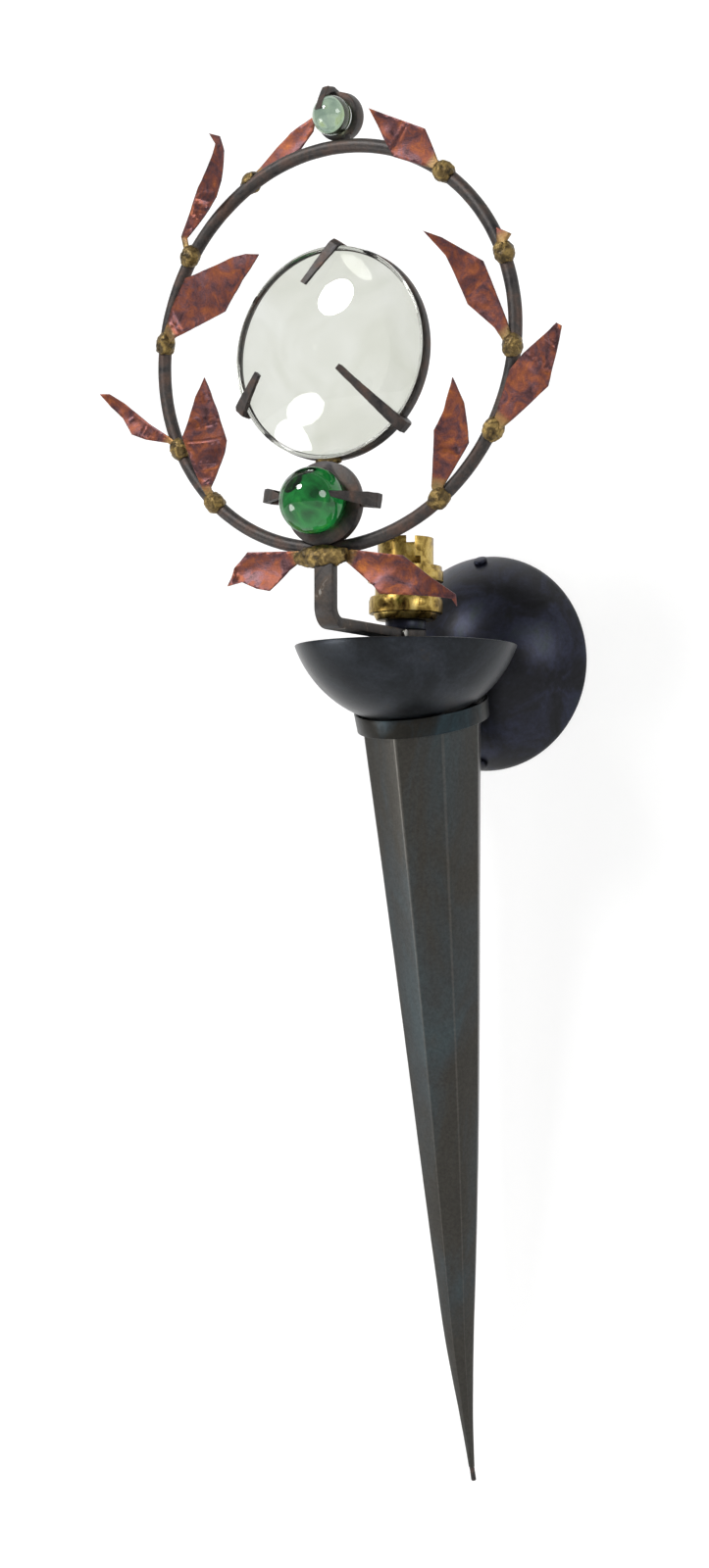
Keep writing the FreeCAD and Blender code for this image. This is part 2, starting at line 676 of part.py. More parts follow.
def make_contacts(bottom):
    """The insulator inside the barrel with its two sprung contact plungers."""
    floor = "insulator_lid / 2"
    lid = "insulator_height - insulator_lid"
    disc = cylinder("insulator_disc", "barrel_bore", "insulator_height", at=(0, "axis_y", bottom))
    hollows = []
    places = {"left": "-contact_spacing / 2", "right": "contact_spacing / 2"}
    for side, x in places.items():
        hollows.append(cylinder(f"chamber_{side}", "chamber_radius", f"{lid} - ({floor})",
                                at=(x, "axis_y", f"{bottom} + {floor}")))
        hollows.append(cylinder(f"contact_bore_{side}", "contact_radius + contact_clearance",
                                "insulator_height", at=(x, "axis_y", f"{bottom} + ({lid}) / 2")))
    piece(cut("contact_insulator", disc, *hollows))
    flange_z = f"{bottom} + {lid} - contact_flange_height - contact_clearance"
    for side, x in places.items():
        piece(turned(f"contact_plunger_{side}", [
            (0, 0), ("contact_flange_radius", 0), ("contact_flange_radius", "contact_flange_height"),
            ("contact_radius", "contact_flange_height"),
            ("contact_radius", "contact_flange_height + contact_height"),
            (0, "contact_flange_height + contact_height")], at=(x, "axis_y", flange_z)))
        piece(ring(f"contact_spring_{side}", "spring_radius", "spring_radius - spring_wall",
                   f"{lid} - ({floor}) - contact_flange_height - contact_clearance",
                   at=(x, "axis_y", f"{bottom} + {floor}")))


# ---------------------------------------------------------------- bar and ring of the wreath
BAR_BACK_Y = "(ring_y - ring_rod)"


def make_bar():
    """The flat bar: down from the ring, round a bend and back to an eye on the nipple."""
    front = f"{BAR_BACK_Y} - bar_thickness"
    bar = DOC.addObject("PartDesign::Body", "bar_body")
    side = outline(bar, "bar_side", "YZ_Plane", [
        (front, "bar_z"), ("axis_y", "bar_z"), ("axis_y", "bar_z + bar_thickness"),
        (BAR_BACK_Y, "bar_z + bar_thickness"), (BAR_BACK_Y, "bar_top_z"), (front, "bar_top_z")])
    pad = bar.newObject("PartDesign::Pad", "bar_pad")
    pad.Profile = side
    bind(pad, Length="bar_width")
    pad.Midplane = True
    DOC.recompute()

    def bend_edge(y, z):
        """The edge along x that passes through y, z."""
        for number, edge in enumerate(pad.Shape.Edges, 1):
            middle = edge.CenterOfMass
            if abs(middle.x) < 0.01 and abs(middle.y - y) < 0.01 and abs(middle.z - z) < 0.01:
                return f"Edge{number}"
        raise ValueError(f"no edge at {y}, {z}")

    inner = bar.newObject("PartDesign::Fillet", "bar_inner_bend")
    inner.Base = (pad, [bend_edge(value(BAR_BACK_Y), value("bar_z + bar_thickness"))])
    bind(inner, Radius="bar_bend")
    DOC.recompute()
    pad = inner
    outer = bar.newObject("PartDesign::Fillet", "bar_outer_bend")
    outer.Base = (inner, [bend_edge(value(front), value("bar_z"))])
    bind(outer, Radius="bar_bend + bar_thickness")

    eye = cylinder("bar_eye", "eye_radius", "bar_thickness", at=(0, "axis_y", "bar_z"))
    hole = cylinder("bar_eye_hole", "nipple_radius + eye_clearance", "3 * bar_thickness",
                    at=(0, "axis_y", "bar_z - bar_thickness"))
    piece(cylinder("earth_screw", "earth_screw_radius", "earth_screw_height",
                   at=("bar_width / 2", "earth_screw_y", "bar_z + bar_thickness / 2"),
                   turn=SIDEWAYS))
    return piece(cut("wreath_bar", fuse("bar_strip", bar, eye), hole))


def make_ring():
    torus = solid("Torus", "wreath_ring", (0, "ring_y", "ring_z"), TO_ROOM,
                  Radius1="ring_radius", Radius2="ring_rod")
    return piece(torus)


# ---------------------------------------------------------------- leaves
def leaf_side(name):
    """-1 where the leaf lies against the rod's back, +1 where it lies against its front."""
    return -1 if name in BACK_LEAVES else 1


def leaf_root(name, depth, share=1):
    """A leaf's root, or a point a share of the way out to it from the rod's centre line."""
    reach = f"(ring_radius + {name}_out * {share})"
    return (f"{reach} * cos({name}_clock)", f"ring_y - ({depth})",
            f"ring_z + {reach} * sin({name}_clock)")


def make_leaf(name, shape, thickness):
    """A leaf cut from sheet: its outline padded through a bent slab of the sheet's thickness."""
    length, bend = f"{name}_length", value(f"{name}_bend")
    half_root = "leaf_root / 2"
    points = [(0, f"-{half_root}")]
    points += [(f"{length} * {share}", side) for share, side in shape["right"]]
    points += [(length, shape["tip"])]
    points += [(f"{length} * {share}", side) for share, side in reversed(shape["left"])]
    points += [(0, half_root)]
    blank = padded(f"{name}_blank", points, length, midplane=True)

    outer = cylinder(f"{name}_outer", f"abs({name}_bend) + {thickness} / 2", f"2 * {length}",
                     at=(0, length, f"{name}_bend"), turn=TO_ROOM)
    inner = cylinder(f"{name}_inner", f"abs({name}_bend) - {thickness} / 2", f"4 * {length}",
                     at=(0, f"2 * {length}", f"{name}_bend"), turn=TO_ROOM)
    half = box(f"{name}_half", f"2 * {length}", f"2 * {length}", f"abs({name}_bend)",
               at=(f"-{length} / 2", f"-{length}",
                   f"-{thickness}" if bend > 0 else f"{name}_bend + {thickness}"))
    slab = common(f"{name}_slab", cut(f"{name}_tube", outer, inner), half)
    leaf = common(name, blank, slab)
    turn = Rotation(Y_AXIS, -value(f"{name}_heading")).multiply(TO_ROOM)
    depth = f"{leaf_side(name)} * (ring_rod + {thickness} / 2 + leaf_seat)"
    return piece(place(leaf, *leaf_root(name, depth), turn=turn))


def make_leaves():
    leaves, lumps = [], []
    for name, shape in LEAVES.items():
        thickness = "stub_thickness" if name == "broken_leaf_stub" else "leaf_thickness"
        leaves.append(make_leaf(name, shape, thickness))
        if name not in BAR_LEAVES:
            along_rod = about(Y_AXIS, f"-{name}_clock")
            middle = leaf_root(name, f"{leaf_side(name)} * ring_rod / 2", share=0.5)
            lumps.append(bead(f"{name}_braze", "braze_half_length", "braze_radius", middle,
                              along_rod))
    return leaves, lumps


# ---------------------------------------------------------------- glass, bands and claws
def dome_lens():
    """A flat-backed glass disc with a domed front, its back on z = 0."""
    sphere = "((lens_radius^2 + lens_dome^2) / (2 * lens_dome))"
    disc = cylinder("lens_disc", "lens_radius", "lens_thickness")
    ball = solid("Sphere", "lens_ball", (0, 0, f"lens_thickness - {sphere}"), Radius=sphere)
    bevel = solid("Cone", "lens_bevel_cone", Radius1="lens_radius - lens_bevel",
                  Radius2="lens_radius - lens_bevel + lens_thickness", Height="lens_thickness")
    lens = common("lens", common("lens_front", disc, ball), bevel)
    return piece(place(lens, 0, "bezel_back_y - bezel_depth", "lens_z", turn=TO_ROOM))


def claw_profile(name, root):
    """The claw seen from its side, as pairs of distance along its heading and height."""
    thick, bend, tip = (f"{name}_{key}" for key in ("thickness", "bend_height", "tip_height"))
    reach = f"{name}_reach"
    outer = [(root, "claw_lift"), (f"{thick} * 0.1", f"{bend} * 0.12"),
             (f"-{thick} / 2", f"{bend} * 0.45"), (f"-{thick} / 2", bend),
             (f"{thick} * 0.25", f"{bend} + {thick} * 0.8"), (reach, f"{tip} + {thick} * 0.75")]
    inner = [(reach, f"{tip} - {thick} * 0.35"), (f"{thick} * 0.8", f"{bend} - {thick} * 0.3"),
             (f"{thick} / 2", f"{bend} * 0.5"), (root, f"claw_lift + {thick}")]
    return outer + inner


def make_claw(name, centre_x, base_y, centre_z, band_radius, *glass, tilt="0"):
    """A claw forged from square bar: out from the band, round a bend and back over the glass."""
    def own(key):
        return f"{name}_{key}"
    thick = own("thickness")
    root = f"({own('bend_radius')} - {band_radius})"
    profile = claw_profile(name, root)
    side = padded(f"{name}_side", profile, own("root_width"), role="XZ_Plane", midplane=True)
    # seen from the front the claw narrows from its bend to its tip
    root_half, tip_half = f"{own('root_width')} / 2", f"{own('tip_width')} / 2"
    front = padded(f"{name}_front", [
        (f"-{thick}", f"-{root_half}"), (thick, f"-{root_half}"), (own("reach"), f"-{tip_half}"),
        (own("reach"), tip_half), (thick, root_half), (f"-{thick}", root_half)],
        f"4 * {own('tip_height')}", midplane=True)
    wide = box(f"{name}_foot", f"{root} + {own('reach')}", own("root_width"),
               f"claw_lift + {thick}", at=(f"-{thick}", f"-{root_half}", "0"))
    blank = common(f"{name}_blank", side, fuse(f"{name}_plan", front, wide))
    turn = about(X_AXIS, f"90 + {tilt}").multiply(about(Z_AXIS, own("heading")))
    rise = f"{own('bend_radius')} * sin({own('clock')})"
    place(blank, f"{centre_x} + {own('bend_radius')} * cos({own('clock')})",
          f"{base_y} - {rise} * sin({tilt})", f"{centre_z} + {rise} * cos({tilt})", turn=turn)
    return piece(cut(name, blank, *glass))


def make_glass(wreath_ring):
    lens = dome_lens()
    bezel = piece(ring("lens_bezel", "bezel_radius", "bezel_radius - bezel_width", "bezel_depth",
                       at=(0, "bezel_back_y", "lens_z"), turn=TO_ROOM))
    for name in ("lens_claw_top", "lens_claw_left", "lens_claw_right"):
        make_claw(name, "0", "bezel_back_y", "lens_z", "bezel_radius", lens, bezel)

    band_front = "green_back_y - green_band_depth"
    band_inner = "(green_band_radius - green_band_width)"
    seat = f"sqrt(green_radius^2 - {band_inner}^2)"
    band = ring("green_band_blank", "green_band_radius", band_inner, "green_band_depth",
                at=("green_x", "green_back_y", "green_z"), turn=TO_ROOM)
    band = piece(cut("green_band", band, wreath_ring, bezel))
    green = piece(solid("Sphere", "green_marble", ("green_x", f"{band_front} - {seat}", "green_z"),
                        Radius="green_radius"))
    between = "(lens_z - bezel_radius + green_z + green_band_radius) / 2"
    lump = bead("bezel_lump", "bezel_braze_half_length", "bezel_braze_radius",
                ("green_x / 2", "bezel_back_y - bezel_depth", between), SIDEWAYS)
    piece(cut("bezel_braze", lump, bezel, band, green, lens))
    for name in ("green_claw_right", "green_claw_left"):
        make_claw(name, "green_x", "green_back_y", "green_z", "green_band_radius", green, band)

    band_turn = about(X_AXIS, "90 + top_tilt")
    inner = "(top_band_radius - top_band_width)"
    top_seat = f"(top_band_depth + sqrt(top_radius^2 - {inner}^2))"
    top_band = piece(ring("top_band", "top_band_radius", inner, "top_band_depth",
                          at=("top_x", "top_back_y", "top_z"), turn=band_turn))
    marble = piece(solid("Sphere", "top_marble", (
        "top_x", f"top_back_y - {top_seat} * cos(top_tilt)",
        f"top_z - {top_seat} * sin(top_tilt)"), Radius="top_radius"))
    make_claw("top_claw", "top_x", "top_back_y", "top_z", "top_band_radius", marble, top_band,
              tilt="top_tilt")
    post = cylinder("top_post_blank", "top_post_radius", "top_z - ring_z - ring_radius",
                    at=("top_post_x", "top_post_y", "ring_z + ring_radius"))
    hole = cylinder("top_band_space", "top_band_radius", "4 * top_band_depth",
                    at=("top_x", "top_back_y", "top_z"), turn=band_turn)
    piece(cut("top_post", post, wreath_ring, top_band, hole))
    return band


def make_wreath():
    bar = make_bar()
    wreath_ring = make_ring()
    leaves, lumps = make_leaves()
    band = make_glass(wreath_ring)
    metal = together("braze_metal", wreath_ring, bar, band, *leaves)
    piece(cut("leaf_braze", together("braze_lumps", *lumps), metal))
    lump = bead("bar_lump", "bar_braze_half_length", "bar_braze_radius",
                ("bar_braze_x", f"{BAR_BACK_Y} - bar_thickness / 2",
                 "ring_z - ring_radius - bar_braze_drop"), SIDEWAYS)
    piece(cut("bar_braze", lump, metal))


def check_document():
    """Stop if any feature failed or any sub-part has no valid shape."""
    for thing in DOC.Objects:
        if {"Invalid", "Error"} & set(thing.State):
            raise RuntimeError(f"{thing.Name} failed: {thing.State}")
    for name, thing in PARTS.items():
        if thing.Shape.isNull() or not thing.Shape.isValid() or not thing.Shape.Solids:
            raise RuntimeError(f"{name} has no valid solid")


def write_parts():
    os.makedirs("parts", exist_ok=True)
    for name, thing in sorted(PARTS.items()):
        thing.Shape.exportStep(f"parts/{name}.step")
        size = thing.Shape.BoundBox
        print(f"{name:26s} {len(thing.Shape.Solids)} solid  {thing.Shape.Volume:10.1f} mm3  "
              f"{size.XLength:6.1f} x {size.YLength:6.1f} x {size.ZLength:6.1f}")


wall_dome = make_wall_side()
torch_body = make_torch()
make_arm(wall_dome, torch_body)
make_stack()
make_lampholder()
make_wreath()
DOC.recompute()
check_document()
write_parts()
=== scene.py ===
"""Torch sconce, dressed: a blackened wall torch with a bowl, a brass lampholder and a wire ring
of heat-coloured copper leaves that carries clawed glass. Metres, in the frame of the CAD model."""
import json
from math import atan2, cos, pi, radians, sin

import bpy
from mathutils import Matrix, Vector, noise

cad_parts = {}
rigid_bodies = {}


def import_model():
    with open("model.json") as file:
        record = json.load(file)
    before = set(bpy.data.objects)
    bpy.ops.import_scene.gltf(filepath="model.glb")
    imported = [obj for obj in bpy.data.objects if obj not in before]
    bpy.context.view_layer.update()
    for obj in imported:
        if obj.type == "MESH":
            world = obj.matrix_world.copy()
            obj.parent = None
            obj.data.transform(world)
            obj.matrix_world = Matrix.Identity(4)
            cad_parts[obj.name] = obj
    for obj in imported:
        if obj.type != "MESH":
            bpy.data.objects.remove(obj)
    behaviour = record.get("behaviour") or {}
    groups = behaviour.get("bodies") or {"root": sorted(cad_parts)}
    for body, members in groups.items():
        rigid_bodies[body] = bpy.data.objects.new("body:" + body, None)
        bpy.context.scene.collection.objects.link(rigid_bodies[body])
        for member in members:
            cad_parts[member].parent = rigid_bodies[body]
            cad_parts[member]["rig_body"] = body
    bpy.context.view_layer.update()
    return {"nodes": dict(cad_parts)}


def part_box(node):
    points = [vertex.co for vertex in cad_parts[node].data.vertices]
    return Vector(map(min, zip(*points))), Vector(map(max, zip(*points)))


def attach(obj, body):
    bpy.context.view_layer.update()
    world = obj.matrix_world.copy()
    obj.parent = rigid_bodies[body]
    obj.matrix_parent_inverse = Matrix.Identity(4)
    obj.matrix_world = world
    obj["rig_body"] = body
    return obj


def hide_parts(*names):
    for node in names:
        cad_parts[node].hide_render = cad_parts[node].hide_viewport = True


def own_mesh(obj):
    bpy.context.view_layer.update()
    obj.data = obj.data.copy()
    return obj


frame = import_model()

bl_info = {
    "name": "Torch sconce",
    "version": (1, 0, 0),
    "blender": (4, 5, 0),
    "location": "View3D > Sidebar > Sconce",
    "description": "Builds a forged torch sconce with clawed glass and copper leaves",
    "category": "Object",
}

MM = 0.001
GLASS_IOR = 1.52
NODES = frame["nodes"]


# ---------------------------------------------------------------- settings
def linear(code):
    """A linear RGBA colour from an sRGB hex value."""
    channels = [int(code[place:place + 2], 16) / 255 for place in (1, 3, 5)]
    return tuple(c / 12.92 if c <= 0.04045 else ((c + 0.055) / 1.055) ** 2.4
                 for c in channels) + (1.0,)


class SconceSizes(bpy.types.PropertyGroup):
    """Sizes of the finish that the maker may change."""
    edge: bpy.props.FloatProperty(
        name="Edge rounding", description="Radius of the softened edges of turned parts",
        default=0.35 * MM, unit="LENGTH")
    hammer: bpy.props.FloatProperty(
        name="Hammering", description="Height of the dents in forged work",
        default=0.35 * MM, unit="LENGTH")
    sheet_dent: bpy.props.FloatProperty(
        name="Sheet dents", description="Height of the dents in the copper leaves",
        default=0.5 * MM, unit="LENGTH")
    arris: bpy.props.FloatProperty(
        name="Arris", description="Share of a torch face that its rounded arris takes",
        default=5.0, subtype="PERCENTAGE")


class SconceColours(bpy.types.PropertyGroup):
    """Colours that the maker may change."""
    iron: bpy.props.FloatVectorProperty(
        name="Blackened iron", description="Main colour of the torch, bowl and dome",
        default=linear("#20282C"), size=4, subtype="COLOR")
    leaf: bpy.props.FloatVectorProperty(
        name="Leaf copper", description="Main colour of the leaves",
        default=linear("#6A3B31"), size=4, subtype="COLOR")
    brass: bpy.props.FloatVectorProperty(
        name="Brass", description="Main colour of the lampholder",
        default=linear("#B79C55"), size=4, subtype="COLOR")
    marble: bpy.props.FloatVectorProperty(
        name="Green glass", description="Main colour of the large marble",
        default=linear("#0E5A26"), size=4, subtype="COLOR")


# ---------------------------------------------------------------- working with meshes
def deselect():
    """Leave edit mode and deselect everything."""
    if bpy.context.object and bpy.context.object.mode != "OBJECT":
        bpy.ops.object.mode_set(mode="OBJECT")
    bpy.ops.object.select_all(action="DESELECT")


def only(thing):
    """Select one object alone and make it active."""
    deselect()
    thing.select_set(True)
    bpy.context.view_layer.objects.active = thing


def edit(thing, kind="VERT"):
    """Open an object in edit mode with nothing selected."""
    only(thing)
    bpy.ops.object.mode_set(mode="EDIT")
    bpy.ops.mesh.select_mode(type=kind)
    bpy.ops.mesh.select_all(action="DESELECT")


def leave():
    bpy.ops.object.mode_set(mode="OBJECT")


def copy_of(node, name):
    """A merged copy of a CAD node's mesh, in its own object."""
    mesh = NODES[node].data.copy()
    mesh.materials.clear()
    thing = bpy.data.objects.new(name, mesh)
    bpy.context.scene.collection.objects.link(thing)
    edit(thing)
    bpy.ops.mesh.select_all(action="SELECT")
    bpy.ops.mesh.remove_doubles(threshold=0.002 * MM)
    bpy.ops.mesh.dissolve_limited(angle_limit=radians(0.3))
    leave()
    return thing


def modify(thing, kind, **settings):
    """Add a modifier and apply it."""
    only(thing)
    bpy.ops.object.modifier_add(type=kind)
    modifier = thing.modifiers[-1]
    for key, setting in settings.items():
        setattr(modifier, key, setting)
    bpy.ops.object.modifier_apply(modifier=modifier.name)


def soften(thing, width, segments=2, angle=35):
    """Round the sharp edges."""
    modify(thing, "BEVEL", width=width, segments=segments, limit_method="ANGLE",
           angle_limit=radians(angle), use_clamp_overlap=True)


def dent(thing, height, size):
    """Push the surface in and out in soft dents of a size."""
    cloud = bpy.data.textures.new(f"{thing.name}_dents", "CLOUDS")
    cloud.noise_scale = size
    modify(thing, "DISPLACE", texture=cloud, strength=height, mid_level=0.5,
           texture_coords="LOCAL")


def forge(thing, grain, passes, height, size):
    """Remesh a part evenly, round it as a hammer and a file would, and dent it."""
    only(thing)
    thing.data.remesh_voxel_size = grain
    bpy.ops.object.voxel_remesh()
    modify(thing, "SMOOTH", factor=0.5, iterations=passes)
    dent(thing, height, size)


def settle(thing):
    """Bake an object's place and turn into its mesh."""
    only(thing)
    bpy.ops.object.transform_apply(location=True, rotation=True, scale=True)


def finish_piece(thing, material, slot, *nodes, smooth=35):
    """Shade, paint and seat a piece that stands for CAD nodes of one body."""
    only(thing)
    bpy.ops.object.shade_smooth_by_angle(angle=radians(smooth))
    thing.data.materials.clear()
    thing.data.materials.append(material)
    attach(thing, NODES[nodes[0]]["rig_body"])
    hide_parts(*nodes)
    return thing


# ---------------------------------------------------------------- materials
def add_node(tree, kind, links=None, stops=(), **settings):
    """Add a shader node, set it, fill its colour ramp and link or set its inputs."""
    node = tree.nodes.new(kind)
    for key, setting in settings.items():
        setattr(node, key, setting)
    for number, (place, colour) in enumerate(stops):
        ramp = node.color_ramp.elements
        stop = ramp[number] if number < 2 else ramp.new(place)
        stop.position, stop.color = place, colour
    for socket, source in (links or {}).items():
        if isinstance(source, bpy.types.NodeSocket):
            tree.links.new(source, node.inputs[socket])
        else:
            node.inputs[socket].default_value = source
    return node


def new_material(name):
    material = bpy.data.materials.new(name)
    material.use_nodes = True
    tree = material.node_tree
    shader = tree.nodes["Principled BSDF"]
    return material, tree, shader


def patinated(name, stops, patch, grain, rough, metallic, dents, tint_mask=None, scratch=0.0,
              distort=0.7, streak=1.0):
    """A metal with patches of colour, a fine grain, uneven gloss and small dents.

    patch and grain are real sizes in metres; the mask argument is an attribute and the colour it
    brings, on the torch wear and a painted highlight along the arrises;
    streak below 1 draws the patches out along z."""
    material, tree, shader = new_material(name)
    place = add_node(tree, "ShaderNodeTexCoord").outputs["Object"]
    drawn = add_node(tree, "ShaderNodeMapping", {
        "Vector": place, "Scale": (1.0, 1.0, streak)}).outputs["Vector"]
    patches = add_node(tree, "ShaderNodeTexNoise", {
        "Vector": drawn, "Scale": 1 / patch, "Detail": 5.0, "Roughness": 0.62,
        "Distortion": distort}).outputs["Fac"]
    fine = add_node(tree, "ShaderNodeTexNoise", {
        "Vector": place, "Scale": 1 / grain, "Detail": 4.0, "Roughness": 0.7}).outputs["Fac"]
    colour = add_node(tree, "ShaderNodeValToRGB", {"Fac": patches}, stops).outputs["Color"]
    shade = add_node(tree, "ShaderNodeMapRange", {
        "Value": fine, "From Min": 0.3, "From Max": 0.7, "To Min": 0.72, "To Max": 1.18}
    ).outputs["Result"]
    colour = add_node(tree, "ShaderNodeVectorMath", {0: colour, 1: shade},
                      operation="MULTIPLY").outputs["Vector"]
    if tint_mask:
        attribute, shine = tint_mask
        amount = add_node(tree, "ShaderNodeAttribute", attribute_name=attribute).outputs["Fac"]
        amount = add_node(tree, "ShaderNodeMath", {0: amount, 1: shade},
                          operation="MULTIPLY", use_clamp=True).outputs["Value"]
        colour = add_node(tree, "ShaderNodeMix", {0: amount, 6: colour, 7: shine},
                          data_type="RGBA").outputs[2]
    height = fine
    if scratch:
        stretched = add_node(tree, "ShaderNodeMapping", {
            "Vector": place, "Rotation": (0.3, 0.9, 0.2), "Scale": (1.0, 1.0, 14.0)}
        ).outputs["Vector"]
        lines = add_node(tree, "ShaderNodeTexNoise", {
            "Vector": stretched, "Scale": 1 / scratch, "Detail": 3.0}).outputs["Fac"]
        height = add_node(tree, "ShaderNodeMath", {0: fine, 1: lines},
                          operation="ADD").outputs["Value"]
    gloss = add_node(tree, "ShaderNodeMapRange", {
        "Value": patches, "From Min": 0.3, "From Max": 0.7, "To Min": rough[0],
        "To Max": rough[1]}).outputs["Result"]
    bump = add_node(tree, "ShaderNodeBump", {
        "Strength": 0.6, "Distance": dents, "Height": height}).outputs["Normal"]
    tree.links.new(colour, shader.inputs["Base Color"])
    tree.links.new(gloss, shader.inputs["Roughness"])
    tree.links.new(bump, shader.inputs["Normal"])
    shader.inputs["Metallic"].default_value = metallic
    return material


def coloured_glass(name, stops, patch):
    """Cast glass with drifting colour: sharp reflections and a little unevenness inside."""
    material, tree, shader = new_material(name)
    place = add_node(tree, "ShaderNodeTexCoord").outputs["Object"]
    drift = add_node(tree, "ShaderNodeTexNoise", {
        "Vector": place, "Scale": 1 / patch, "Detail": 2.0, "Distortion": 1.2}).outputs["Fac"]
    colour = add_node(tree, "ShaderNodeValToRGB", {"Fac": drift}, stops).outputs["Color"]
    tree.links.new(colour, shader.inputs["Base Color"])
    shader.inputs["Roughness"].default_value = 0.0
    shader.inputs["IOR"].default_value = GLASS_IOR
    shader.inputs["Transmission Weight"].default_value = 1.0
    return material


MATERIALS = {}


def make_materials():
    colours = bpy.context.scene.sconce_colours
    MATERIALS.update({
        # cold-blacked and waxed mild steel: blue-black with brown and teal clouds, soft gloss
        "torch": patinated("blackened_steel_torch", [
            (0.28, linear("#12120F")), (0.42, linear("#1E1C17")), (0.53, colours.iron),
            (0.64, linear("#25363C")), (0.76, linear("#2C2C2A"))],
            patch=38 * MM, grain=1.6 * MM, rough=(0.3, 0.44), metallic=0.75,
            dents=0.1 * MM,
            # pale along every arris: partly wear, partly a painted highlight
            tint_mask=("tint_mask", linear("#77746E")), streak=0.35),
        # the same steel, better waxed: almost black with a soft broad shine
        "bowl": patinated("blackened_steel_bowl", [
            (0.32, linear("#121417")), (0.5, linear("#1E2227")), (0.62, linear("#292D34")),
            (0.74, linear("#343029"))],
            patch=30 * MM, grain=1.8 * MM, rough=(0.26, 0.4), metallic=0.7,
            dents=0.08 * MM),
        # the same steel, heated more: black with violet-blue clouds
        "dome": patinated("blackened_steel_dome", [
            (0.30, linear("#0F1013")), (0.46, linear("#1A1B22")), (0.58, linear("#252839")),
            (0.70, linear("#242B2C"))],
            patch=26 * MM, grain=2.0 * MM, rough=(0.3, 0.44), metallic=0.65,
            dents=0.1 * MM),
        # hand-forged mild steel, oxidised: near black with brown rust clouds
        "forged": patinated("forged_steel", [
            (0.32, linear("#262426")), (0.48, linear("#3C3836")), (0.6, linear("#4C3E38")),
            (0.72, linear("#5C463C"))],
            patch=11 * MM, grain=1.2 * MM, rough=(0.42, 0.6), metallic=0.6,
            dents=0.2 * MM),
        # forged bar, handled: dark with pale patches worn to the metal
        "bar": patinated("forged_steel_bar", [
            (0.34, linear("#2C2A2A")), (0.5, linear("#3E3A38")), (0.62, linear("#4A4038")),
            (0.70, linear("#8A8680"))],
            patch=12 * MM, grain=1.3 * MM, rough=(0.4, 0.58), metallic=0.6,
            dents=0.2 * MM),
        # copper sheet coloured with a torch flame: red-brown, orange and purple clouds
        "leaf": patinated("flame_coloured_copper", [
            (0.26, linear("#2E1B19")), (0.42, linear("#55373A")), (0.53, colours.leaf),
            (0.63, linear("#7E452C")), (0.76, linear("#9A5A2A"))],
            patch=9 * MM, grain=0.9 * MM, rough=(0.36, 0.56), metallic=0.72,
            dents=0.08 * MM,
            tint_mask=("root", linear("#96804A")), scratch=5 * MM, distort=1.4),
        # bronze brazing metal: lumpy, golden with olive scale
        "braze": patinated("bronze_braze", [
            (0.34, linear("#352C1C")), (0.5, linear("#665432")), (0.66, linear("#A08750"))],
            patch=4 * MM, grain=0.8 * MM, rough=(0.36, 0.6), metallic=0.75,
            dents=0.25 * MM),
        # turned brass, aged: satin gold with brown tarnish clouds
        "brass": patinated("aged_brass", [
            (0.32, linear("#46361A")), (0.44, linear("#7C6431")), (0.56, colours.brass),
            (0.72, linear("#CDB673"))],
            patch=7 * MM, grain=0.8 * MM, rough=(0.24, 0.42), metallic=0.95,
            dents=0.05 * MM),
        # zinc-plated mild steel: pale grey, dull and even
        "steel": patinated("plated_steel", [
            (0.35, linear("#8E8E8A")), (0.65, linear("#B4B3AE"))],
            patch=10 * MM, grain=0.7 * MM, rough=(0.28, 0.4), metallic=1.0,
            dents=0.03 * MM),
        # moulded thermoset: dark brown, matt, slightly pitted
        "moulding": patinated("brown_moulding", [
            (0.35, linear("#2A1A12")), (0.65, linear("#3A261A"))],
            patch=6 * MM, grain=0.5 * MM, rough=(0.45, 0.6), metallic=0.0,
            dents=0.04 * MM),
        # moulded nylon: off-white and matt
        "terminal": patinated("white_moulding", [
            (0.35, linear("#D2D0C6")), (0.65, linear("#DEDCD2"))],
            patch=8 * MM, grain=0.5 * MM, rough=(0.45, 0.6), metallic=0.0,
            dents=0.03 * MM),
        # pressed optical glass: clear with a faint grey-green body
        "lens": coloured_glass("clear_pressed_glass", [
            (0.3, linear("#CBCDC2")), (0.7, linear("#DCDED8"))],
            patch=40 * MM),
        # cast glass marbles: deep emerald, and a pale grey-green
        "marble": coloured_glass("emerald_glass", [
            (0.3, linear("#03240E")), (0.46, colours.marble), (0.6, linear("#1C8038")),
            (0.75, linear("#6FB040"))],
            patch=12 * MM),
        "small_marble": coloured_glass("pale_green_glass", [
            (0.35, linear("#74897C")), (0.55, linear("#9DB19A")), (0.7, linear("#94A868"))],
            patch=8 * MM),
    })


# ---------------------------------------------------------------- wall side
def dressed(node, material, slot, edge=1.0):
    """A part whose CAD form is right, with its edges rounded."""
    width = edge * bpy.context.scene.sconce_sizes.edge
    thing = copy_of(node, f"{node}_dressed")
    soften(thing, width)
    return finish_piece(thing, MATERIALS[material], slot, node)


class SCONCE_OT_wall_side(bpy.types.Operator):
    """Make the wall dome, its strap, screws and terminals, and the arm"""
    bl_idname = "sconce.wall_side"
    bl_label = "Wall side"

    def execute(self, context):
        dressed("wall_dome", "dome", "dark_iron")
        dressed("arm_tube", "torch", "dark_iron", 0.6)
        dressed("dome_screws", "dome", "dark_iron", 1.4)
        dressed("mounting_strap", "steel", "plated_steel")
        dressed("terminal_block", "terminal", "terminal_plastic", 2.0)
        dressed("terminal_screws", "steel", "plated_steel", 0.8)
        return {"FINISHED"}


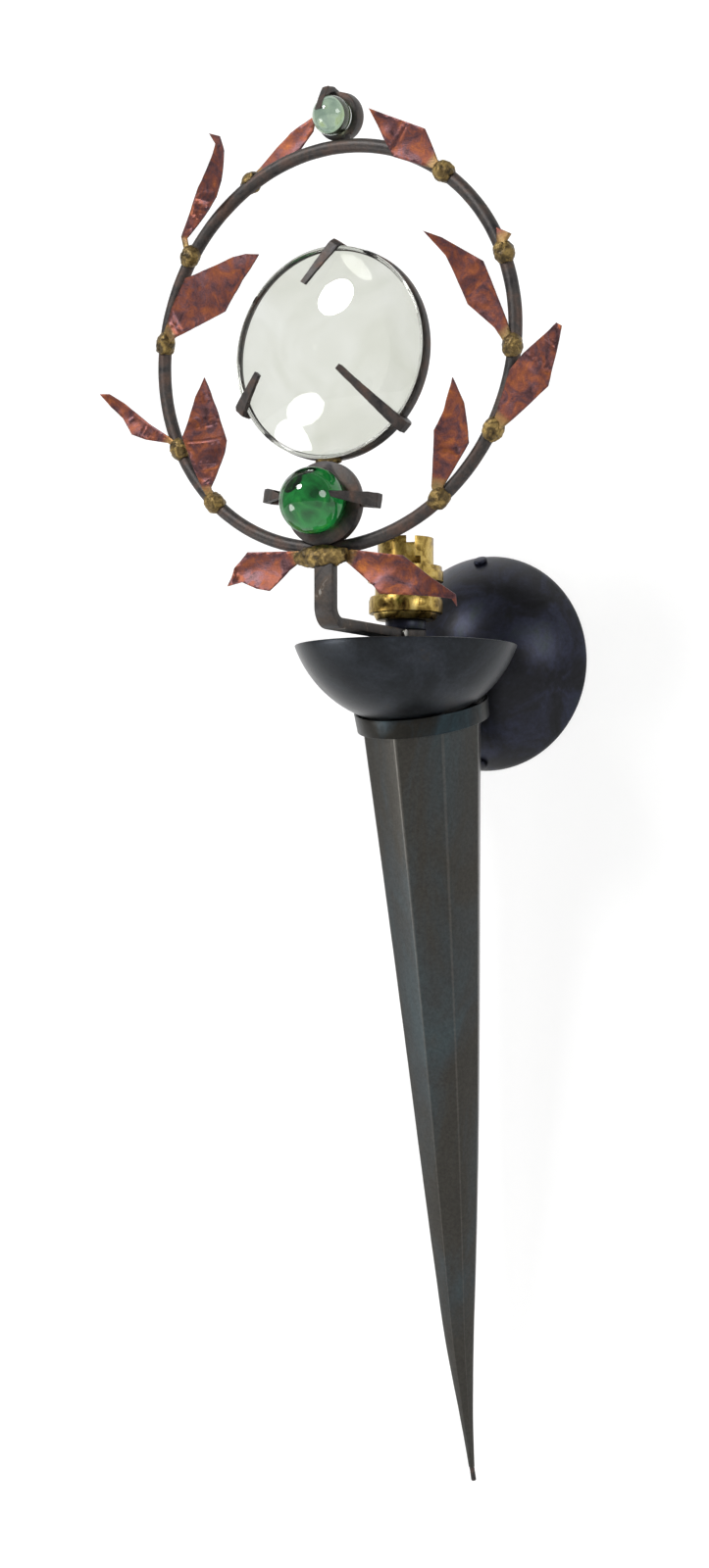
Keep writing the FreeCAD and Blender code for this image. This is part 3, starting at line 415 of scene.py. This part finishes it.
# ---------------------------------------------------------------- torch
# share of the length from the tip, share of the top radius, share of the bow
TORCH_SECTIONS = ((0.0, 0.052, 0.24), (0.033, 0.080, 0.42), (0.083, 0.130, 0.67),
                  (0.185, 0.256, 1.0), (0.287, 0.368, 0.80), (0.389, 0.470, 0.58),
                  (0.542, 0.608, 0.30), (0.796, 0.822, 0.08), (1.0, 1.0, 0.0),
                  (1.0407, 1.0355, 0.0))
TORCH_LENGTH, TORCH_RADIUS, TORCH_BOW = 380.5 * MM, 30.6 * MM, 4.9 * MM
TORCH_TOP, TORCH_TILT = Vector((0, -74.8, -43.2)) * MM, radians(8.5)
TORCH_RINGS = 52
TORCH_WALL, TORCH_RISE, TORCH_MOUTH_DEPTH = 1.6 * MM, 6 * MM, 30 * MM
COLLAR_CENTRE, COLLAR_TILT = Vector((0, -77.5, -25.5)) * MM, radians(16.5)
# the pale colour along the arrises is partly wear and partly a painted highlight
ARRIS_REACH, ARRIS_WEAR_AND_SHEEN = 0.10, 0.42


def torch_section(share):
    """Radius and bow of the torch at a share of its length, on a smooth curve."""
    rows = TORCH_SECTIONS
    last = next((n for n in range(len(rows) - 1) if share <= rows[n + 1][0]), len(rows) - 2)
    before, start, end, after = (rows[min(max(last + k, 0), len(rows) - 1)]
                                 for k in (-1, 0, 1, 2))
    span = end[0] - start[0]
    t = (share - start[0]) / span
    result = []
    for column in (1, 2):
        slope_in = (end[column] - before[column]) / max(end[0] - before[0], 1e-6) * span
        slope_out = (after[column] - start[column]) / max(after[0] - start[0], 1e-6) * span
        result.append((2 * t**3 - 3 * t**2 + 1) * start[column] + (t**3 - 2 * t**2 + t) * slope_in
                      + (3 * t**2 - 2 * t**3) * end[column] + (t**3 - t**2) * slope_out)
    return result[0] * TORCH_RADIUS, result[1] * TORCH_BOW


class SCONCE_OT_torch(bpy.types.Operator):
    """Make the octagonal torch, its tip pin and the bridge inside"""
    bl_idname = "sconce.torch"
    bl_label = "Torch"

    def execute(self, context):
        sizes = context.scene.sconce_sizes
        top = TORCH_SECTIONS[-1][0]
        shares = [top * (n / TORCH_RINGS) ** 1.15 for n in range(TORCH_RINGS + 1)]
        radius, bow = torch_section(0.0)
        deselect()
        bpy.ops.mesh.primitive_circle_add(vertices=8, radius=radius, fill_type="NGON",
                                          location=(0, -bow, -TORCH_LENGTH))
        torch = context.object
        torch.name = "torch_dressed"
        settle(torch)
        bpy.ops.object.mode_set(mode="EDIT")
        bpy.ops.mesh.select_all(action="SELECT")
        for low, high in zip(shares, shares[1:]):
            (r0, b0), (r1, b1) = torch_section(low), torch_section(high)
            bpy.ops.mesh.extrude_region_move(TRANSFORM_OT_translate={
                "value": (0, b0 - b1, (high - low) * TORCH_LENGTH)})
            bpy.ops.transform.resize(
                value=(r1 / r0, r1 / r0, 1),
                center_override=(0, -b1, (high - 1) * TORCH_LENGTH))
        leave()
        torch.location, torch.rotation_euler = TORCH_TOP, (TORCH_TILT, 0, 0)
        settle(torch)
        arris = [edge.index for edge in torch.data.edges
                 if abs((torch.data.vertices[edge.vertices[0]].co
                         - torch.data.vertices[edge.vertices[1]].co).normalized().z) > 0.9]
        edit(torch, "EDGE")
        leave()
        for index in arris:
            torch.data.edges[index].select = True
        bpy.ops.object.mode_set(mode="EDIT")
        bpy.ops.mesh.bevel(offset_type="PERCENT", offset_pct=sizes.arris, segments=3,
                           affect="EDGES")
        bpy.ops.mesh.select_all(action="SELECT")
        upward = Vector((0, -sin(COLLAR_TILT), cos(COLLAR_TILT)))
        bpy.ops.mesh.bisect(plane_co=COLLAR_CENTRE + TORCH_RISE * upward, plane_no=upward,
                            clear_outer=True, use_fill=True)
        bpy.ops.mesh.select_mode(type="FACE")
        leave()
        for face in torch.data.polygons:
            face.select = len(face.vertices) > 12 and face.center.z > -40 * MM
        bpy.ops.object.mode_set(mode="EDIT")
        bpy.ops.mesh.inset(thickness=TORCH_WALL)
        bpy.ops.mesh.extrude_region_move(TRANSFORM_OT_translate={
            "value": Vector((0, sin(TORCH_TILT), -cos(TORCH_TILT))) * TORCH_MOUTH_DEPTH})
        bpy.ops.transform.resize(value=(0.9, 0.9, 1))
        bpy.ops.mesh.select_all(action="SELECT")
        bpy.ops.mesh.normals_make_consistent(inside=False)
        leave()
        mark_arrises(torch)
        dent(torch, 0.5 * sizes.hammer, 14 * MM)
        finish_piece(torch, MATERIALS["torch"], "dark_iron", "torch_body", smooth=30)

        pin = copy_of("tip_pin", "tip_pin_dressed")
        forge(pin, 0.25 * MM, 3, 0.2 * MM, 3 * MM)
        finish_piece(pin, MATERIALS["forged"], "dark_iron", "tip_pin")
        dressed("bridge_plate", "torch", "dark_iron", 0.8)
        return {"FINISHED"}


def mark_arrises(torch):
    """Store how pale each point is painted, for wear and a painted highlight on the arrises: 1 on
    an arris, less beside it.
    """
    tint_mask = torch.data.attributes.new("tint_mask", "FLOAT", "POINT")
    for vertex in torch.data.vertices:
        offset = vertex.co - TORCH_TOP
        along = Vector((0, sin(TORCH_TILT), -cos(TORCH_TILT)))
        share = 1 - offset.dot(along) / TORCH_LENGTH
        radius, bow = torch_section(min(max(share, 0.0), TORCH_SECTIONS[-1][0]))
        across = offset - along * offset.dot(along)
        y = across.dot(Vector((0, cos(TORCH_TILT), sin(TORCH_TILT)))) + bow
        turn = (atan2(y, across.x) / (pi / 4)) % 1.0
        near = min(turn, 1 - turn)
        tint_mask.data[vertex.index].value = (
            ARRIS_WEAR_AND_SHEEN * max(0.0, 1 - near / ARRIS_REACH) ** 1.6)


# ---------------------------------------------------------------- bowl, stack, lampholder
class SCONCE_OT_bowl(bpy.types.Operator):
    """Make the collar, the bowl and the pieces stacked on the threaded nipple"""
    bl_idname = "sconce.bowl"
    bl_label = "Bowl and stack"

    def execute(self, context):
        dressed("collar_band", "torch", "dark_iron", 0.9)
        dressed("bowl", "bowl", "dark_iron", 1.2)
        dressed("spacer_tube", "dome", "dark_iron")
        dressed("lock_ring", "dome", "dark_iron", 1.5)
        for node in ("threaded_nipple", "nipple_nut", "bowl_seat"):
            dressed(node, "steel", "plated_steel")
        return {"FINISHED"}


class SCONCE_OT_lampholder(bpy.types.Operator):
    """Make the brass bayonet lampholder with its insulator and sprung contacts"""
    bl_idname = "sconce.lampholder"
    bl_label = "Lampholder"

    def execute(self, context):
        for node, edge in (("lampholder_base", 1.2), ("clamp_ring", 1.6),
                           ("lampholder_barrel", 0.8), ("shade_ring", 1.4)):
            dressed(node, "brass", "brass", edge)
        dressed("contact_insulator", "moulding", "insulator", 0.8)
        for side in ("left", "right"):
            dressed(f"contact_plunger_{side}", "brass", "contact_brass", 0.8)
            spring = dressed(f"contact_spring_{side}", "steel", "spring_steel", 0.3)
            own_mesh(spring)
        return {"FINISHED"}


# ---------------------------------------------------------------- wreath
RING_CENTRE, RING_RADIUS, RING_ROD = Vector((0, -168, 135.3)) * MM, 92.9 * MM, 3.175 * MM


class SCONCE_OT_ring(bpy.types.Operator):
    """Make the ring of round rod, its flat bar and the earth screw"""
    bl_idname = "sconce.ring"
    bl_label = "Ring and bar"

    def execute(self, context):
        sizes = context.scene.sconce_sizes
        deselect()
        bpy.ops.mesh.primitive_torus_add(
            major_segments=288, minor_segments=20, major_radius=RING_RADIUS,
            minor_radius=RING_ROD, location=RING_CENTRE, rotation=(pi / 2, 0, 0))
        ring = context.object
        ring.name = "wreath_ring_dressed"
        settle(ring)
        dent(ring, 0.6 * sizes.hammer, 9 * MM)
        finish_piece(ring, MATERIALS["forged"], "forged_iron", "wreath_ring", smooth=60)
        dressed("wreath_bar", "bar", "forged_iron", 1.8)
        dressed("earth_screw", "steel", "plated_steel", 0.9)
        return {"FINISHED"}


# clock angle of the root, heading, length in mm, then cup, twist and tip curl in mm
LEAVES = {
    "leaf_top_left": (118, 38, 43, 0.8, 0.6, 0.5),
    "leaf_outer_left_high": (146, 71, 56, 0.9, -1.5, 2.0),
    "leaf_inner_left_high": (173, 29, 68, 1.2, 1.4, 0.6),
    "leaf_outer_left_low": (-154, 146, 50, 2.2, 2.0, 1.5),
    "leaf_inner_left_low": (-133, 90, 58, 1.2, -1.2, 0.8),
    "leaf_bottom_left": (-97, -162, 41, 1.6, 1.2, 0.8),
    "leaf_bottom_right": (-85, -26, 59, 1.6, -1.4, -1.6),
    "leaf_inner_right_low": (-53, 78, 53, 1.0, 1.2, 0.8),
    "leaf_outer_right": (-29, 49, 54, 1.0, -1.4, 0.6),
    "leaf_inner_right_high": (-6, 125, 64, 1.2, 1.4, 1.2),
    "leaf_top_right": (51, 137, 47, 1.1, -1.0, 0.6),
    "broken_leaf_stub": (20, 107, 11, 0.0, 0.0, 0.0),
}
LEAF_STEP = 1.8 * MM
ROOT_LENGTH = 9 * MM
STIFF_LENGTH = 26 * MM
LEAF_REACH = 18 * MM


def shape_leaf(name, clock, heading, length, cup, twist, curl):
    """Cut a sheet leaf into a fine grid, then cup, twist, curl and dent it."""
    leaf = copy_of(name, f"{name}_dressed")
    along = Vector((cos(radians(heading)), 0, sin(radians(heading))))
    across = Vector((-along.z, 0, along.x))
    root = RING_CENTRE + RING_RADIUS * Vector((cos(radians(clock)), 0, sin(radians(clock))))
    length *= MM
    edit(leaf)
    for direction, reach in ((along, length), (across, LEAF_REACH)):
        place = -reach if direction is across else LEAF_STEP
        while place < reach:
            bpy.ops.mesh.select_all(action="SELECT")
            bpy.ops.mesh.bisect(plane_co=root + direction * place, plane_no=direction)
            place += LEAF_STEP
    leave()
    rooted = leaf.data.attributes.new("root", "FLOAT", "POINT")
    height = bpy.context.scene.sconce_sizes.sheet_dent
    for vertex in leaf.data.vertices:
        offset = vertex.co - root
        u, w = offset.dot(along), offset.dot(across)
        free = min(max(u / STIFF_LENGTH, 0.0), 1.0)
        free = free * free * (3 - 2 * free)
        far = max(u / length - 0.6, 0.0) / 0.4
        bend = (cup * MM * (abs(w) / (10 * MM)) ** 1.5 + twist * MM * (u / length)
                * (w / (8 * MM)) + curl * MM * far ** 2)
        spot = Vector((vertex.co.x, 0, vertex.co.z))
        bend += height * (noise.noise(spot / (9 * MM)) + 0.4 * noise.noise(spot / (3 * MM)))
        vertex.co.y -= bend * free
        rooted.data[vertex.index].value = max(0.0, 1 - u / ROOT_LENGTH) ** 0.6 * 0.9
    soften(leaf, 0.18 * MM, segments=1, angle=55)
    return finish_piece(leaf, MATERIALS["leaf"], "copper_leaf", name, smooth=40)


class SCONCE_OT_leaves(bpy.types.Operator):
    """Make the sheet leaves"""
    bl_idname = "sconce.leaves"
    bl_label = "Leaves"

    def execute(self, context):
        for name, numbers in LEAVES.items():
            shape_leaf(name, *numbers)
        return {"FINISHED"}


class SCONCE_OT_braze(bpy.types.Operator):
    """Make the lumps of braze that hold leaves, bar and bezel"""
    bl_idname = "sconce.braze"
    bl_label = "Braze"

    def execute(self, context):
        for node, grain in (("leaf_braze", 0.5), ("bar_braze", 0.5), ("bezel_braze", 0.35)):
            lump = copy_of(node, f"{node}_dressed")
            forge(lump, grain * MM, 3, 1.5 * MM, 3.2 * MM)
            finish_piece(lump, MATERIALS["braze"], "braze", node, smooth=60)
        return {"FINISHED"}


class SCONCE_OT_claws(bpy.types.Operator):
    """Make the forged claws, bezel, bands and post"""
    bl_idname = "sconce.claws"
    bl_label = "Claws and bands"

    def execute(self, context):
        sizes = context.scene.sconce_sizes
        for node in ("lens_claw_top", "lens_claw_left", "lens_claw_right", "green_claw_left",
                     "green_claw_right", "top_claw"):
            claw = copy_of(node, f"{node}_dressed")
            forge(claw, 0.32 * MM, 6, sizes.hammer, 4 * MM)
            finish_piece(claw, MATERIALS["forged"], "forged_iron", node, smooth=60)
        for node, edge in (("lens_bezel", 1.6), ("green_band", 2.0), ("top_band", 1.6),
                           ("top_post", 1.0)):
            dressed(node, "forged", "forged_iron", edge)
        return {"FINISHED"}


class SCONCE_OT_glass(bpy.types.Operator):
    """Make the lens and the two marbles"""
    bl_idname = "sconce.glass"
    bl_label = "Glass"

    def execute(self, context):
        lens = copy_of("lens", "lens_dressed")
        soften(lens, 0.5 * MM, segments=3, angle=20)
        finish_piece(lens, MATERIALS["lens"], "clear_glass", "lens", smooth=30)
        for node, material, slot in (("green_marble", "marble", "green_glass"),
                                     ("top_marble", "small_marble", "pale_green_glass")):
            low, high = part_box(node)
            deselect()
            bpy.ops.mesh.primitive_uv_sphere_add(
                segments=96, ring_count=48, radius=(high.x - low.x) / 2,
                location=(low + high) / 2)
            marble = context.object
            marble.name = f"{node}_dressed"
            settle(marble)
            dent(marble, 0.08 * MM, 12 * MM)
            finish_piece(marble, MATERIALS[material], slot, node, smooth=80)
        return {"FINISHED"}


# ---------------------------------------------------------------- stage
AZIMUTH, ELEVATION = radians(28.8), radians(-1.05)
CAMERA_PLACE = Vector((0.4675, -0.9967, -0.0842))


def backdrop_material(name, lit):
    """Matt white that camera and glass see lit, with the object's shadow, clear from behind."""
    material, tree, shader = new_material(name)
    tree.nodes.remove(shader)
    rays = add_node(tree, "ShaderNodeLightPath")
    seen = add_node(tree, "ShaderNodeMath", {
        0: rays.outputs["Is Camera Ray"], 1: rays.outputs["Is Glossy Ray"]},
        operation="MAXIMUM").outputs["Value"]
    seen = add_node(tree, "ShaderNodeMath", {
        0: seen, 1: rays.outputs["Is Transmission Ray"]}, operation="MAXIMUM").outputs["Value"]
    paint = add_node(tree, "ShaderNodeBsdfDiffuse", {"Color": linear("#F2F2F0")}).outputs[0]
    veil = add_node(tree, "ShaderNodeBsdfDiffuse", {"Color": linear("#8A8A8A")}).outputs[0]
    glow = add_node(tree, "ShaderNodeEmission", {"Strength": lit}).outputs[0]
    both = add_node(tree, "ShaderNodeAddShader", {0: veil, 1: glow}).outputs[0]
    mixed = add_node(tree, "ShaderNodeMixShader", {0: seen, 1: paint, 2: both}).outputs[0]
    behind = add_node(tree, "ShaderNodeNewGeometry").outputs["Backfacing"]
    clear = add_node(tree, "ShaderNodeBsdfTransparent").outputs[0]
    mixed = add_node(tree, "ShaderNodeMixShader", {0: behind, 1: mixed, 2: clear}).outputs[0]
    tree.links.new(mixed, tree.nodes["Material Output"].inputs["Surface"])
    return material


class SCONCE_OT_stage(bpy.types.Operator):
    """Make the pale wall and floor, the lamps and the camera"""
    bl_idname = "sconce.stage"
    bl_label = "Stage"

    def execute(self, context):
        white = backdrop_material("white_backdrop", 0.80)
        for name, place, turn in (("wall", (0, 0.002, 0), (pi / 2, 0, 0)),
                                  ("floor", (0, 0, -0.62), (0, 0, 0))):
            deselect()
            bpy.ops.mesh.primitive_plane_add(size=8, location=place, rotation=turn)
            sheet = context.object
            sheet.name = f"stage_{name}"
            sheet.data.materials.append(white)
        for name, place, size, power in (
                ("key", (-0.5, -1.3, 1.0), 0.45, 22), ("fill", (1.5, -0.9, 0.5), 0.7, 9),
                ("low", (-1.1, -1.0, -0.5), 0.6, 8)):
            bpy.ops.object.light_add(type="AREA", location=place)
            lamp = context.object
            lamp.name = f"lamp_{name}"
            lamp.data.shape, lamp.data.size, lamp.data.energy = "DISK", size, power
            lamp.rotation_euler = (Vector((0, -0.1, 0)) - Vector(place)).to_track_quat(
                "-Z", "Y").to_euler()
        world = bpy.data.worlds.new("studio")
        context.scene.world = world
        world.use_nodes = True
        tree = world.node_tree
        rays = add_node(tree, "ShaderNodeLightPath")
        seen = add_node(tree, "ShaderNodeMath", {
            0: rays.outputs["Is Camera Ray"], 1: rays.outputs["Is Transmission Ray"]},
            operation="MAXIMUM").outputs["Value"]
        strength = add_node(tree, "ShaderNodeMapRange", {
            "Value": seen, "To Min": 0.3, "To Max": 1.0}).outputs["Result"]
        tree.nodes["Background"].inputs["Color"].default_value = (1, 1, 1, 1)
        tree.links.new(strength, tree.nodes["Background"].inputs["Strength"])
        context.scene.view_settings.view_transform = "Standard"

        bpy.ops.object.camera_add(location=CAMERA_PLACE)
        camera = context.object
        camera.name = "camera"
        camera.data.lens, camera.data.sensor_width = 47.39, 36
        camera.data.sensor_fit = "AUTO"
        back = Vector((sin(AZIMUTH) * cos(ELEVATION), -cos(AZIMUTH) * cos(ELEVATION),
                       sin(ELEVATION)))
        camera.rotation_euler = (-back).to_track_quat("-Z", "Y").to_euler()
        context.scene.camera = camera
        return {"FINISHED"}


OPERATORS = (SCONCE_OT_stage, SCONCE_OT_wall_side, SCONCE_OT_torch, SCONCE_OT_bowl,
             SCONCE_OT_lampholder, SCONCE_OT_ring, SCONCE_OT_leaves, SCONCE_OT_braze,
             SCONCE_OT_claws, SCONCE_OT_glass)


class SCONCE_PT_panel(bpy.types.Panel):
    """The sconce's operators and settings"""
    bl_idname = "SCONCE_PT_panel"
    bl_label = "Torch sconce"
    bl_space_type = "VIEW_3D"
    bl_region_type = "UI"
    bl_category = "Sconce"

    def draw(self, context):
        for group in (context.scene.sconce_sizes, context.scene.sconce_colours):
            for prop in group.bl_rna.properties:
                if not prop.is_readonly and prop.identifier != "name":
                    self.layout.prop(group, prop.identifier)
        for operator in OPERATORS:
            self.layout.operator(operator.bl_idname)


CLASSES = (SconceSizes, SconceColours, *OPERATORS, SCONCE_PT_panel)


def register():
    for item in CLASSES:
        bpy.utils.register_class(item)
    bpy.types.Scene.sconce_sizes = bpy.props.PointerProperty(type=SconceSizes)
    bpy.types.Scene.sconce_colours = bpy.props.PointerProperty(type=SconceColours)


def unregister():
    del bpy.types.Scene.sconce_colours
    del bpy.types.Scene.sconce_sizes
    for item in reversed(CLASSES):
        bpy.utils.unregister_class(item)


def main():
    register()
    make_materials()
    for operator in OPERATORS:
        group, name = operator.bl_idname.split(".")
        getattr(getattr(bpy.ops, group), name)()


if __name__ == "__main__":
    main()
